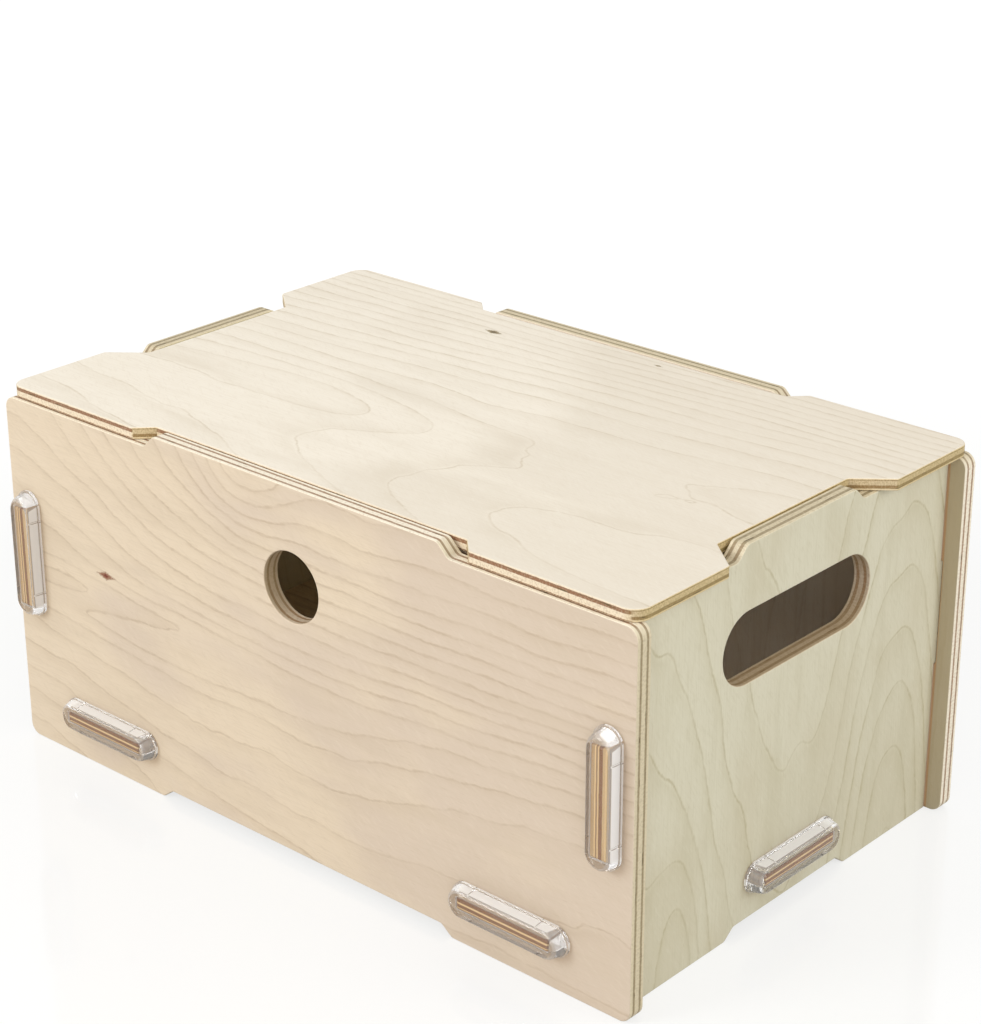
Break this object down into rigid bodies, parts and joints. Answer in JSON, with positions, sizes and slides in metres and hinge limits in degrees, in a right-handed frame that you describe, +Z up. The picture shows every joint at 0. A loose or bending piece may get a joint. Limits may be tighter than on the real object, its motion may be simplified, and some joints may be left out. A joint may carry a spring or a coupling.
{
  "type": "kindling box",
  "caption": "Plywood kindling box with tenoned panels, clear tenon caps, hand slots, finger holes and a notched lift-off lid.",
  "frame": {"origin": "bottom centre of the box, on the surface that its feet stand on", "axes": "+X along the box to the right end, +Y from the front panel to the back panel, +Z up"},
  "size_m": [0.4, 0.2666, 0.1933],
  "materials": {
    "wall_plywood": "sanded birch plywood, clear matt finish",
    "thin_plywood": "sanded thin birch plywood, clear matt finish",
    "clear_plastic": "clear moulded plastic, polished"
  },
  "bodies": {
    "box": {"front_panel": "wall_plywood", "back_panel": "wall_plywood", "left_end_panel": "wall_plywood", "right_end_panel": "wall_plywood", "bottom_panel": "thin_plywood", "front_left_upright_cap": "clear_plastic", "front_right_upright_cap": "clear_plastic", "front_left_bottom_cap": "clear_plastic", "front_right_bottom_cap": "clear_plastic", "back_left_upright_cap": "clear_plastic", "back_right_upright_cap": "clear_plastic", "back_left_bottom_cap": "clear_plastic", "back_right_bottom_cap": "clear_plastic", "left_end_cap": "clear_plastic", "right_end_cap": "clear_plastic"},
    "lid": {"lid_top_board": "thin_plywood", "lid_locating_board": "thin_plywood"}
  },
  "joints": [
    {"name": "lid_lift", "type": "slide", "parent": "box", "child": "lid", "axis": [0, 0, 1], "range_m": [0, 0.105]}
  ]
}
